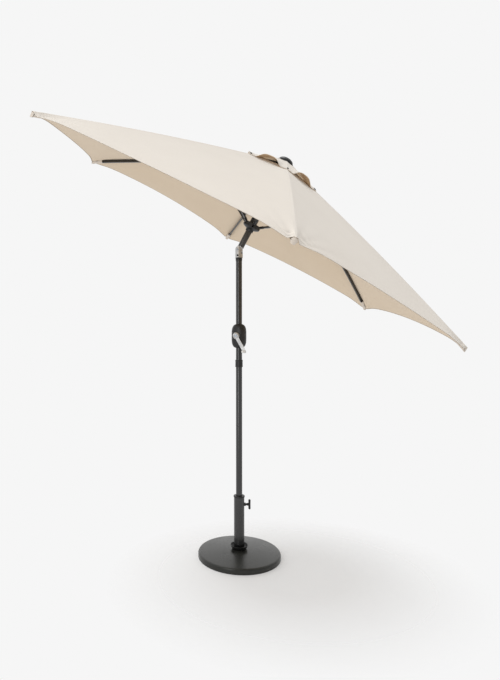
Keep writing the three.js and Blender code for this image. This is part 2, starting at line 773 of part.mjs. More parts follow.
function strutPiece(number) {
  const fall = Math.atan(ribFall(BRACKET_RADIUS));
  const endX = BRACKET_RADIUS - BRACKET_DROP * Math.sin(fall);
  const endZ = ribHeight(BRACKET_RADIUS) - BRACKET_DROP * Math.cos(fall);
  const length = Math.hypot(endX - PIVOT_RADIUS, endZ - RUNNER_HEIGHT);
  const rise = Math.atan2(endZ - RUNNER_HEIGHT, endX - PIVOT_RADIUS);
  const path = new THREE.LineCurve3(new THREE.Vector3(22, 0, 0), new THREE.Vector3(length - 20, 0, 0));
  const tube = boxTube(path, STRUT_WIDTH, STRUT_DEPTH, RIB_WALL, 1);
  const plug = [STRUT_DEPTH - RIB_WALL, STRUT_WIDTH - RIB_WALL];
  const runnerEnd = tongue(7, 38, ...plug);
  const ribEnd = tongue(6.5, 34, ...plug).rotateZ(Math.PI).translate(length, 0, 0);
  const runnerEye = crossRod(PIN_RADIUS + RUN, -20, 20, 0, 0, 8);
  const ribEye = crossRod(PIN_RADIUS + PIN_PLAY, -20, 20, length, 0, 8);
  const drain = block([60, 66], [-2, 2], [-STRUT_DEPTH, 0]);
  const strut = cut(join(tube, runnerEnd, ribEnd), runnerEye, ribEye, drain)
    .rotateY(-rise)
    .translate(PIVOT_RADIUS, 0, RUNNER_HEIGHT);
  return piece(`strut_${number}`, "steel_black", strut);
}

// ---------------------------------------------------------------- fabric

// A gore of the main canopy, centred on the rib along +X: its two halves fold at the rib.
function gore(number) {
  const rows = 9;
  const lift = RIB_DEPTH / 2 / Math.cos(Math.atan(ribFall(RIB_END))) + RIDGE_LIFT;
  const shares = [-1, -0.5, 0, 0.5, 1];
  const sheet = (raise) => {
    const grid = [];
    for (let row = 0; row < rows; row++) {
      const along = row / (rows - 1);
      grid.push(
        shares.map((share) => {
          const across = Math.abs(share);
          const dip = 1 - (1 - across) ** 2;
          const scallop = RIM_SCALLOP * dip * along ** 6;
          const rho = VENT_HOLE_RADIUS + (CANOPY_RADIUS - VENT_HOLE_RADIUS) * along - scallop;
          const sag = PANEL_SAG * dip * Math.sin(Math.PI * (0.1 + 0.8 * along));
          const x = rho * (1 - across * (1 - Math.cos(30 * DEG) ** 2));
          const y = rho * across * Math.sin(30 * DEG) * Math.cos(30 * DEG) - SEAM_GAP * (across === 1);
          return [x, Math.sign(share) * y, ribHeight(rho) + lift + raise - sag];
        }),
      );
    }
    return grid;
  };
  return piece(`canopy_${number}`, "canopy_fabric", skin(sheet(FABRIC_THICKNESS), sheet(0)));
}

// The small upper canopy: six corners tied down over the ribs, its edges arched up between them.
function ventCanopy() {
  const perSide = 4;
  const radii = [9, VENT_CROWN_RADIUS, 0.6 * VENT_RADIUS, VENT_RADIUS];
  const sheet = (raise) =>
    radii.map((radius) => {
      const points = [];
      const out = Math.max(0, (radius - VENT_CROWN_RADIUS) / (VENT_RADIUS - VENT_CROWN_RADIUS));
      for (let side = 0; side < RIB_COUNT; side++) {
        for (let step = 0; step < perSide; step++) {
          const along = step / perSide;
          const corners = [side * 60 * DEG, (side + 1) * 60 * DEG];
          const [x, y] = [Math.cos, Math.sin].map(
            (turn) => radius * (turn(corners[0]) * (1 - along) + turn(corners[1]) * along),
          );
          const arch = VENT_ARCH * Math.sin(Math.PI * along) * out ** 2;
          const fall = (VENT_CROWN_HEIGHT - VENT_CORNER_HEIGHT) * out;
          points.push([x, y, VENT_CROWN_HEIGHT - fall + arch + raise]);
        }
      }
      return points;
    });
  return skin(sheet(0), sheet(-FABRIC_THICKNESS), true);
}

// ---------------------------------------------------------------- assembly

const umbrella = new THREE.Group();
umbrella.add(...standPieces(), ...clampPieces(), ...mastPieces(), buttonPiece());
umbrella.add(...crankPieces(), gripPiece());

const canopy = new THREE.Group();
canopy.position.z = TILT_HEIGHT;
canopy.rotation.y = TILT_ANGLE * DEG;
canopy.add(...canopyPolePieces(), pulleyPiece(), piece("runner", "plastic_black", runner()));
for (let number = 1; number <= RIB_COUNT; number++) {
  const sector = new THREE.Group();
  sector.rotation.z = (number - 1) * 60 * DEG;
  sector.add(ribPiece(number), bracketPiece(number), strutPiece(number), gore(number));
  canopy.add(sector);
}
umbrella.add(canopy);

export default umbrella;
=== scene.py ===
import json
import math

import bpy
from mathutils import Matrix, Vector, noise


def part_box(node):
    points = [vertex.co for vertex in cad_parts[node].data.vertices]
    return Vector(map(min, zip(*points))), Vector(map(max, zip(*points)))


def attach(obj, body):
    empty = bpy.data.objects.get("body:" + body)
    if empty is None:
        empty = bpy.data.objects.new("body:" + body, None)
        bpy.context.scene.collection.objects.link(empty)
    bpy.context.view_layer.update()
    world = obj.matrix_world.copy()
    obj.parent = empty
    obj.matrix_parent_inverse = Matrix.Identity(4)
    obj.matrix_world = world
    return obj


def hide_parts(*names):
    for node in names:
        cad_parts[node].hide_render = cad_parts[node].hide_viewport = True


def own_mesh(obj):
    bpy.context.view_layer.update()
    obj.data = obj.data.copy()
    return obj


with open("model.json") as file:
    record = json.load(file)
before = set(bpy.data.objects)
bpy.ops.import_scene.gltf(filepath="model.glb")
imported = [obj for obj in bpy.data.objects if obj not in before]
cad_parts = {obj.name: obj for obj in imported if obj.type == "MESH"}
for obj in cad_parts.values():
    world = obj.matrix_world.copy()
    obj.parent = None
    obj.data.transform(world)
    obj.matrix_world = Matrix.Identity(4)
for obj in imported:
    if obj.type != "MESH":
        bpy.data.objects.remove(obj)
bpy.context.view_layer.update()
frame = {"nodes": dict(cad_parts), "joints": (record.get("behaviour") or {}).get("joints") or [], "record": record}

# ---------------------------------------------------------------- places, from the frame's own joints

JOINTS = {joint["name"]: joint for joint in frame["joints"]}
TILT_AXIS = Vector(JOINTS["canopy_tilt"]["pos_m"])
CANOPY_UP = -Vector(JOINTS["runner_slide"]["axis"])
CANOPY_LEAN = Vector((CANOPY_UP.z, 0, -CANOPY_UP.x))
CANOPY = Matrix.Translation(TILT_AXIS) @ Matrix((CANOPY_LEAN, (0, 1, 0), CANOPY_UP)).transposed().to_4x4()


def in_canopy(point):
    """A world point in the canopy's frame: Z up its tube, X towards its lean, origin on the tilt axis."""
    return CANOPY.inverted() @ Vector(point)


RIB_COUNT = 6
HALF = math.radians(30)
HUB_HEIGHT = in_canopy(JOINTS["rib_1_fold"]["pos_m"]).z
PIVOT_RADIUS = in_canopy(JOINTS["rib_1_fold"]["pos_m"]).x

# Fabric, in metres
RIB_SLOPE = 0.309
RIB_BOW = 0.0338
RIB_DEPTH = 0.019
RIB_HALF_WIDTH = 0.0065
RIDGE_LIFT = 0.0022
CANOPY_RADIUS = 1.350
VENT_HOLE_RADIUS = 0.160
SKIN_LENGTH = CANOPY_RADIUS - VENT_HOLE_RADIUS
PANEL_SAG = 0.012
RIM_SCALLOP = 0.024
# The middle of each panel's rim above the line between its corners, and how early the rim leaves each corner.
RIM_RAISE = (0.026, 0.018, 0.030, 0.004, 0.001, 0.003)
RIM_FULLNESS = (1.0, 1.0, 1.0, 1.0, 0.7, 1.9)
CORNER_WRAP = 0.014  # the cloth beside a rib's end is drawn down this far
CORNER_FOLD = 0.0022
CREASE = 0.0042
CLOTH = 0.0010
HEM = 0.019
SEAM = 0.0075  # half width
POCKET_LENGTH = 0.090
POCKET_WALL = 0.0012
POCKET_DEPTH = 0.0118  # its floor below the rib's centre line
POCKET_GAP = 0.0009  # its roof below the canopy's skin
POCKET_MARK_STEP = 0.006
TAPE_END = 0.62  # share of the way from the vent hole to the rim
TAPE_INSIDE = 0.0035
TAPE_TOP = 0.0009
TAPE_BOTTOM = 0.0016
VENT_RADIUS = 0.255
VENT_CORNER = 0.489
VENT_CROWN = 0.567
VENT_CROWN_RADIUS = 0.048
VENT_ARCH = 0.032
VENT_FLUTTER = 0.0045
VENT_STUD_INSET = 0.014
# What the fabric's material reads at each vertex: the weave's two directions, the distance from the ridge and
# from the rim, and the run along the rim and along the ridge.
CLOTH_MARKS = ("warp", "weft", "ridge", "rim", "run_rim", "run_ridge")


# ---------------------------------------------------------------- materials

class Shader:
    """Node material round one Principled shader, with short names for the nodes used here."""

    def __init__(self, name, color, roughness, metallic=0.0, **sockets):
        self.material = bpy.data.materials.new(name)
        self.material.use_nodes = True
        self.tree = self.material.node_tree
        self.bsdf = self.tree.nodes["Principled BSDF"]
        self.set("Base Color", (*color, 1))
        self.set("Roughness", roughness)
        self.set("Metallic", metallic)
        for socket, value in sockets.items():
            self.set(socket.replace("_", " "), value)
        self.normal = None

    def set(self, socket, value):
        self.bsdf.inputs[socket].default_value = value

    def wire(self, socket, value):
        if isinstance(value, bpy.types.NodeSocket):
            self.tree.links.new(value, socket)
        else:
            socket.default_value = value

    def math(self, operation, *values):
        made = self.tree.nodes.new("ShaderNodeMath")
        made.operation = operation
        for socket, value in zip(made.inputs, values):
            self.wire(socket, value)
        return made.outputs[0]

    def place(self, stretch=(1, 1, 1)):
        """Object coordinates, stretched."""
        coordinates = self.tree.nodes.new("ShaderNodeTexCoord")
        mapping = self.tree.nodes.new("ShaderNodeMapping")
        mapping.inputs["Scale"].default_value = stretch
        self.tree.links.new(coordinates.outputs["Object"], mapping.inputs["Vector"])
        return mapping.outputs[0]

    def noise(self, scale, detail=3.0, where=None):
        made = self.tree.nodes.new("ShaderNodeTexNoise")
        made.inputs["Scale"].default_value = scale
        made.inputs["Detail"].default_value = detail
        self.tree.links.new(where or self.place(), made.inputs["Vector"])
        return made.outputs["Fac"]

    def attribute(self, name):
        made = self.tree.nodes.new("ShaderNodeAttribute")
        made.attribute_name = name
        return made.outputs["Fac"]

    def cloth_place(self, x, x_scale, y, y_scale):
        """Two distances on the cloth, scaled, as the place to read a noise at."""
        made = self.tree.nodes.new("ShaderNodeCombineXYZ")
        self.wire(made.inputs[0], self.math("MULTIPLY", x, x_scale))
        self.wire(made.inputs[1], self.math("MULTIPLY", y, y_scale))
        return made.outputs[0]

    def spread(self, value, low, high, to_low, to_high):
        made = self.tree.nodes.new("ShaderNodeMapRange")
        for socket, setting in zip(made.inputs, (value, low, high, to_low, to_high)):
            self.wire(socket, setting)
        return made.outputs[0]

    def mix(self, share, first, second):
        made = self.tree.nodes.new("ShaderNodeMix")
        made.data_type = "RGBA"
        self.wire(made.inputs["Factor"], share)
        self.wire(made.inputs[6], (*first, 1) if isinstance(first, tuple) else first)
        self.wire(made.inputs[7], (*second, 1) if isinstance(second, tuple) else second)
        return made.outputs[2]

    def color(self, value):
        self.wire(self.bsdf.inputs["Base Color"], value)

    def roughness(self, value):
        self.wire(self.bsdf.inputs["Roughness"], value)

    def bump(self, height, distance, strength=1.0):
        """Each call adds to the bumps before it."""
        made = self.tree.nodes.new("ShaderNodeBump")
        made.inputs["Distance"].default_value = distance
        made.inputs["Strength"].default_value = strength
        self.wire(made.inputs["Height"], height)
        if self.normal is not None:
            self.tree.links.new(self.normal, made.inputs["Normal"])
        self.normal = made.outputs["Normal"]
        self.tree.links.new(self.normal, self.bsdf.inputs["Normal"])

    def line(self, distance, centre, half):
        """1 on a line where distance equals centre, falling to 0 at half to each side."""
        off = self.math("ABSOLUTE", self.math("SUBTRACT", distance, centre))
        return self.spread(off, 0.4 * half, half, 1.0, 0.0)

    def dashes(self, run, pitch):
        """1 on each dash of a row, 0 between them."""
        phase = self.math("FRACT", self.math("DIVIDE", run, pitch))
        off = self.math("ABSOLUTE", self.math("SUBTRACT", phase, 0.5))
        return self.spread(off, 0.34, 0.44, 1.0, 0.0)


THREAD = 0.0011  # weave repeat
STITCH = 0.0040
STITCH_HALF_WIDTH = 0.0008
HEM_STITCHES = (0.0030, HEM - 0.0025)
SEAM_STITCHES = (0.0014, SEAM - 0.0016)
# The colour of the glow painted on the cloth for the daylight that comes through it.
DAYLIGHT = (0.82, 0.55, 0.29, 1)
# The colour of the painted shade along the rim.
PAINTED_RIM_SHADE = (0.22, 0.165, 0.115)
GATHERS = 42.0


def fabric(name, light, dark, thread_shade, glow=0.0, rim_shade=0.0):
    """Woven canvas, with its stitches and gathers placed by CLOTH_MARKS.
    glow is the daylight that comes through the cloth, painted in as a glow, and the last argument is the strength
    of a painted shade along the very rim."""
    made = Shader(name, light, 0.9, Sheen_Weight=0.15, Sheen_Roughness=0.5, Specular_IOR_Level=0.25)
    made.set("Emission Color", DAYLIGHT)
    made.set("Emission Strength", glow)
    warp, weft = made.attribute("warp"), made.attribute("weft")
    waves = [made.math("SINE", made.math("MULTIPLY", thread, 2 * math.pi / THREAD))
             for thread in (warp, weft)]
    weave = made.math("MULTIPLY", *waves)
    slub = made.noise(1.0, 2.0, made.cloth_place(warp, 9.0, weft, 700.0))
    broad = made.noise(3.2, 4.0)
    ridge, rim = made.attribute("ridge"), made.attribute("rim")
    run_rim, run_ridge = made.attribute("run_rim"), made.attribute("run_ridge")
    rows = [made.math("MULTIPLY", made.line(rim, centre, STITCH_HALF_WIDTH), made.dashes(run_rim, STITCH))
            for centre in HEM_STITCHES]
    rows += [made.math("MULTIPLY", made.line(ridge, centre, STITCH_HALF_WIDTH), made.dashes(run_ridge, STITCH))
             for centre in SEAM_STITCHES]
    stitches = rows[0]
    for row in rows[1:]:
        stitches = made.math("MAXIMUM", stitches, row)
    tone = made.math("ADD", made.spread(broad, 0.3, 0.7, 0.0, 0.6), made.spread(slub, 0.3, 0.7, 0.0, 0.4))
    shade = made.mix(tone, light, dark)
    # Darker towards the rim.
    rim_darkened = made.mix(made.spread(rim, 0.0, 0.09, 0.25, 0.0), shade, dark)
    # Painted shade along the very rim, where the hem's edge lies in shadow.
    folded = made.mix(made.spread(rim, 0.005, 0.010, rim_shade, 0.0), rim_darkened, PAINTED_RIM_SHADE)
    made.color(made.mix(made.math("MULTIPLY", stitches, 0.6), folded, thread_shade))
    gather = made.noise(1.0, 2.0, made.cloth_place(run_rim, GATHERS, run_ridge, GATHERS))
    beside_ridge = made.spread(ridge, SEAM, 0.035, 1.0, 0.0)
    beside_rim = made.spread(rim, HEM, 0.05, 1.0, 0.0)
    near_seam = made.math("MAXIMUM", beside_ridge, beside_rim)
    made.bump(made.math("MULTIPLY", gather, near_seam), 0.0005, 0.35)
    made.bump(stitches, 0.00015, 0.5)
    made.bump(slub, 0.0001, 0.3)
    made.bump(weave, 0.00006, 0.3)
    return made.material


def coated(name, light, dark, roughness, grain, grain_size, gloss=0.5, scuff=0.12):
    """A painted or moulded surface: fine grain, drifting gloss and a few rubbed patches."""
    made = Shader(name, light, roughness, Specular_IOR_Level=gloss)
    patches = made.noise(14.0, 5.0)
    made.color(made.mix(made.spread(patches, 0.35, 0.7, 0.0, 1.0), light, dark))
    rubbed = made.spread(made.noise(55.0, 6.0), 0.58, 0.75, 0.0, scuff)
    drift = made.spread(patches, 0.3, 0.7, roughness - 0.03, roughness + 0.05)
    made.roughness(made.math("ADD", drift, rubbed))
    made.bump(made.noise(grain, 2.0), grain_size, 0.5)
    return made.material


def cast(name, light, dark, roughness):
    """Bare cast or plated metal, slightly uneven, duller in patches."""
    made = Shader(name, light, roughness, 1.0)
    patches = made.noise(45.0, 4.0)
    made.color(made.mix(made.spread(patches, 0.35, 0.7, 0.0, 1.0), light, dark))
    made.roughness(made.spread(patches, 0.3, 0.7, roughness - 0.06, roughness + 0.1))
    made.bump(made.noise(420.0, 3.0), 0.0002, 0.35)
    made.bump(made.noise(60.0, 2.0), 0.0008, 0.25)
    return made.material


def concrete():
    """Dry concrete with visible grit."""
    made = Shader("concrete", (0.36, 0.34, 0.31), 0.92)
    grit = made.noise(220.0, 6.0)
    made.color(made.mix(grit, (0.27, 0.255, 0.235), (0.45, 0.43, 0.40)))
    made.bump(grit, 0.0012, 0.8)
    return made.material


CREAM = fabric("fabric_top", (0.716, 0.664, 0.598), (0.682, 0.628, 0.560), (0.77, 0.72, 0.66))
# The underside's warmer colour and its glow are painted daylight coming through the cloth.
UNDERSIDE_PAINTED_DAYLIGHT = fabric("fabric_under_painted_daylight", (0.710, 0.590, 0.452), (0.670, 0.550, 0.412), (0.77, 0.68, 0.57),
             glow=0.03, rim_shade=0.75)
# The vent cap's underside: its darker brown and its glow are painted daylight coming through the cloth.
VENT_UNDERSIDE_PAINTED_DAYLIGHT = fabric("fabric_vent_under_painted_daylight", (0.600, 0.450, 0.300), (0.560, 0.410, 0.265), (0.68, 0.54, 0.40),
                     glow=0.10)
POCKET = fabric("fabric_pocket", (0.700, 0.625, 0.545), (0.660, 0.585, 0.505), (0.74, 0.67, 0.59))
# The edge faces are made lighter than the cloth and given a glow: painted light that lifts the shade they fall in.
HEM_EDGE = fabric("fabric_edge", (0.740, 0.680, 0.610), (0.700, 0.640, 0.570), (0.76, 0.70, 0.63),
                  glow=0.14)
MATERIALS = {
    "canopy_fabric": CREAM,
    "steel_black": coated("steel_black", (0.007, 0.007, 0.0073), (0.010, 0.010, 0.0103), 0.20,
                          900.0, 0.00002, gloss=0.85, scuff=0.05),
    "plastic_black": coated("plastic_black", (0.006, 0.006, 0.0062), (0.009, 0.009, 0.0093), 0.42,
                            1400.0, 0.00004),
    "cast_silver": cast("cast_silver", (0.58, 0.58, 0.575), (0.44, 0.44, 0.44), 0.34),
    "zinc": cast("zinc", (0.40, 0.46, 0.53), (0.30, 0.35, 0.41), 0.34),
    "grip_plastic": coated("grip_plastic", (0.78, 0.78, 0.76), (0.70, 0.70, 0.68), 0.38, 700.0, 0.00006),
    "base_resin": coated("base_resin", (0.017, 0.0178, 0.0155), (0.023, 0.024, 0.021), 0.29,
                         520.0, 0.00007, gloss=0.38),
    "concrete": concrete(),
}


# ---------------------------------------------------------------- meshes

WELD_DISTANCE = 1e-5
AXIS_RADIUS = 0.00005  # a turned outline stays this far off its axis


def make_object(name, vertices, faces, materials, slots=None):
    mesh = bpy.data.meshes.new(name)
    mesh.from_pydata([tuple(vertex) for vertex in vertices], [], faces)
    for material in materials:
        mesh.materials.append(material)
    if slots:
        mesh.polygons.foreach_set("material_index", slots)
    mesh.polygons.foreach_set("use_smooth", [True] * len(mesh.polygons))
    made = bpy.data.objects.new(name, mesh)
    bpy.context.scene.collection.objects.link(made)
    return made


def finish_edges(made, width, angle=35):
    """Rounds the edges, welding the seams first, and keeps flat faces flat."""
    weld = made.modifiers.new("weld", "WELD")
    weld.merge_threshold = WELD_DISTANCE
    if width:
        bevel = made.modifiers.new("bevel", "BEVEL")
        bevel.width = width
        bevel.segments = 2
        bevel.limit_method = "ANGLE"
        bevel.angle_limit = math.radians(angle)
        bevel.harden_normals = False
    normals = made.modifiers.new("normals", "WEIGHTED_NORMAL")
    normals.keep_sharp = True
    made.data.polygons.foreach_set("use_smooth", [True] * len(made.data.polygons))


def settle(made, slot, body, *nodes):
    """Gives a piece its body and hides the CAD nodes that it stands for; slot is not used."""
    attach(made, body)
    if nodes:
        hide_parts(*nodes)
    return made


def rounded(outline, radius, steps=3):
    """The closed outline with each corner rounded off."""
    out = []
    count = len(outline)
    for index in range(count):
        before, here, after = (Vector(outline[(index + step) % count]) for step in (-1, 0, 1))
        reach = min(radius, 0.45 * (before - here).length, 0.45 * (after - here).length)
        first = here + (before - here).normalized() * reach
        last = here + (after - here).normalized() * reach
        for step in range(steps + 1):
            share = step / steps
            out.append(first.lerp(here, share).lerp(here.lerp(last, share), share))
    return out


def lathed(name, outline, slot, axis=Matrix.Identity(4), radius=0.0008, sides=96):
    """A closed outline of (radius, height) turned round Z, with its corners rounded, then placed by axis."""
    points = rounded([(max(r, AXIS_RADIUS), z) for r, z in outline], radius)
    vertices, faces = [], []
    count = len(points)
    for side in range(sides):
        turn = 2 * math.pi * side / sides
        for point in points:
            vertices.append(axis @ Vector((point.x * math.cos(turn), point.x * math.sin(turn), point.y)))
    for side in range(sides):
        a, b = side * count, (side + 1) % sides * count
        for index in range(count):
            after = (index + 1) % count
            faces.append((a + index, b + index, b + after, a + after))
    made = make_object(name, vertices, faces, [MATERIALS[slot]])
    normals = made.modifiers.new("normals", "WEIGHTED_NORMAL")
    normals.keep_sharp = True
    return made


def add_lathed(name, outline, slot, body, *nodes, **shape):
    """A lathed piece, settled on its body."""
    return settle(lathed(name, outline, slot, **shape), slot, body, *nodes)


def mark_cloth(made, rows):
    """Writes CLOTH_MARKS on a mesh, from one row of values for each vertex."""
    for name, values in zip(CLOTH_MARKS, zip(*rows)):
        layer = made.data.attributes.new(name, "FLOAT", "POINT")
        layer.data.foreach_set("value", values)


# ---------------------------------------------------------------- canopy

def rib_height(radius):
    """The height of a rib's centre line, in the canopy's frame."""
    out = radius - PIVOT_RADIUS
    return HUB_HEIGHT - RIB_SLOPE * out - RIB_BOW * out * out


def rib_fall(radius):
    """How steeply a rib falls, as height over radius."""
    return RIB_SLOPE + 2 * RIB_BOW * (radius - PIVOT_RADIUS)


FABRIC_LIFT = RIB_DEPTH / 2 / math.cos(math.atan(rib_fall(CANOPY_RADIUS))) + RIDGE_LIFT


def skin_point(number, along, across, side):
    """A point of the canopy's skin in its rib's frame.
    along runs from 0 at the vent hole to 1 at the rim, across from 0 at the rib to 1 in the panel's middle."""
    panel = (number - 1 if side > 0 else number - 2) % RIB_COUNT
    dip = 1 - (1 - across) ** 2
    rim_dip = dip ** RIM_FULLNESS[number - 1]
    rho = VENT_HOLE_RADIUS + SKIN_LENGTH * along - RIM_SCALLOP * rim_dip * along**6
    sag = PANEL_SAG * dip * math.sin(math.pi * (0.1 + 0.8 * along))
    raised = RIM_RAISE[panel] * rim_dip * max(0.0, along) ** 2.5
    inward, away = (1 - along) * 1.2, across * 0.58  # from the rib's end, in metres
    corner = math.hypot(inward, away)
    swing = math.atan2(away, inward + 1e-6)
    folds = CORNER_FOLD * math.sin(swing * 14) * math.exp(-corner / 0.16) * min(1, corner / 0.05)
    sideways = abs(across) * rho * math.sin(HALF) * math.cos(HALF)
    beside = min(1.0, max(0.0, (sideways - RIB_HALF_WIDTH) / 0.011))
    wrap = CORNER_WRAP * math.exp(-((corner / 0.085) ** 2)) * beside**2 * (3 - 2 * beside)
    ripple = noise.noise(Vector((across * 2.3 + number, along * 3.7, panel * 2.7)))
    creases = CREASE * ripple * across * (1 - across)
    return Vector((
        rho * (1 - across * math.sin(HALF) ** 2),
        side * rho * across * math.sin(HALF) * math.cos(HALF),
        rib_height(rho) + FABRIC_LIFT - sag + raised + folds - wrap + creases,
    ))


ROWS = 96
COLUMNS = 18


def gore_grid():
    """Rows of (along, across, side) with the seam's and the hem's steps on their own lines."""
    hem = 1 - HEM / SKIN_LENGTH
    alongs = [hem * row / ROWS for row in range(ROWS + 1)]
    alongs += [hem + (1 - hem) * share for share in (0.08, 0.5, 1.0)]
    grid = []
    for along in alongs:
        width = (VENT_HOLE_RADIUS + SKIN_LENGTH * along) * math.sin(HALF) * math.cos(HALF)
        near = [0.0, 0.4 * SEAM / width, 0.93 * SEAM / width, 1.04 * SEAM / width]
        far = [near[-1] + (1 - near[-1]) * (step / COLUMNS) ** 1.25 for step in range(1, COLUMNS + 1)]
        acrosses = near + far
        left = [(along, across, -1) for across in reversed(acrosses)]
        right = [(along, across, 1) for across in acrosses[1:]]
        grid.append(left + right)
    return grid


def skin_frame(number, along, across, side):
    """The skin's point and upward normal."""
    step = 1e-4

    def change(first, last):
        return skin_point(number, *last, side) - skin_point(number, *first, side)

    here = skin_point(number, along, across, side)
    down = change((along - step, across), (along + step, across))
    out = change((along, max(0, across - step)), (along, min(1, across + step)))
    normal = out.cross(down) if side < 0 else down.cross(out)
    if across > 0.999:  # the next gore mirrors this one here
        across_panel = Vector((-side * math.sin(HALF), math.cos(HALF), 0))
        normal -= across_panel * normal.dot(across_panel)
    if across < 0.001:
        normal.y = 0
    return here, normal.normalized()


GRID = gore_grid()


def seam_tape(number, place, marks):
    """A strip of cloth under the line where two gores meet, from the vent hole to TAPE_END.
    It covers part of the slit that opens there as the ribs come down, and stops where the photo sees the
    underside."""
    outward = Vector((-math.sin(HALF), math.cos(HALF), 0))
    points, normals, tape_marks = [], [], []
    for row, line in enumerate(GRID):
        along = line[-1][0]
        if along > TAPE_END:
            break
        here, normal = skin_frame(number, along, 1.0, 1)
        reach = 0.0025 + 0.0045 * (1 - min(1, max(0, along - 0.40) / 0.3))
        for out, drop in ((-TAPE_INSIDE, TAPE_TOP), (reach, TAPE_TOP),
                          (reach, TAPE_BOTTOM), (-TAPE_INSIDE, TAPE_BOTTOM)):
            points.append(place @ (here + outward * out - normal * drop))
            normals.append(place.to_3x3() @ (normal if drop == TAPE_TOP else -normal))
            tape_marks.append(marks[(row + 1) * len(line) - 1])
    return points, normals, tape_marks


def gore(number):
    """The two half panels beside one rib, with the seam tape along one edge."""
    place = CANOPY @ Matrix.Rotation((number - 1) * 2 * HALF, 4, "Z")
    turn = place.to_3x3()
    top, bottom, normals, marks = [], [], [], []
    for row in GRID:
        for along, across, side in row:
            here, normal = skin_frame(number, along, across, side)
            from_rim = (1 - along) * SKIN_LENGTH * 1.06
            from_ridge = abs(here.y)
            folded = 0.0005 * (from_rim < HEM * 0.99) + 0.0007 * (from_ridge < SEAM)
            top.append(place @ (here + normal * (CLOTH + folded)))
            bottom.append(place @ (here - normal * folded * 0.6))
            normals.append(turn @ normal)
            marks.append((
                here.y * math.cos(HALF) - side * here.x * math.sin(HALF),
                (here.x * math.cos(HALF) + abs(here.y) * math.sin(HALF)) * 1.07,
                from_ridge, from_rim, abs(here.y) / math.cos(HALF), here.x * 1.06,
            ))
    wide, count = len(GRID[0]), len(top)
    faces, slots = [], []

    def face(slot, *corners):
        faces.append(corners)
        slots.append(slot)

    last = len(GRID) - 1
    for row in range(last):
        for column in range(wide - 1):
            a, b = row * wide + column, (row + 1) * wide + column
            face(0, a, b, b + 1, a + 1)
            face(1, a + count, a + 1 + count, b + 1 + count, b + count)
        a, b = row * wide, (row + 1) * wide
        face(0, a, a + count, b + count, b)
        a, b = a + wide - 1, b + wide - 1
        face(0, a, b, b + count, a + count)
    for column in range(wide - 1):
        a, b = column, column + last * wide
        face(2, a, a + 1, a + 1 + count, a + count)
        face(2, b, b + count, b + 1 + count, b + 1)
    tape, tape_normals, tape_marks = seam_tape(number, place, marks)
    first = 2 * count
    for start in range(first, first + len(tape) - 4, 4):
        for edge in range(4):
            after = (edge + 1) % 4
            face(0 if edge == 0 else 1, start + edge, start + 4 + edge, start + 4 + after, start + after)
    face(1, first, first + 1, first + 2, first + 3)
    end = first + len(tape) - 1
    face(1, end, end - 1, end - 2, end - 3)
    made = make_object(f"canopy_gore_{number}", top + bottom + tape, faces, [CREAM, UNDERSIDE_PAINTED_DAYLIGHT, HEM_EDGE], slots)
    mark_cloth(made, marks * 2 + tape_marks)
    made.data.normals_split_custom_set_from_vertices(normals + [-normal for normal in normals] + tape_normals)
    settle(made, "canopy_fabric", f"rib_{number}", f"canopy_{number}")
    return made


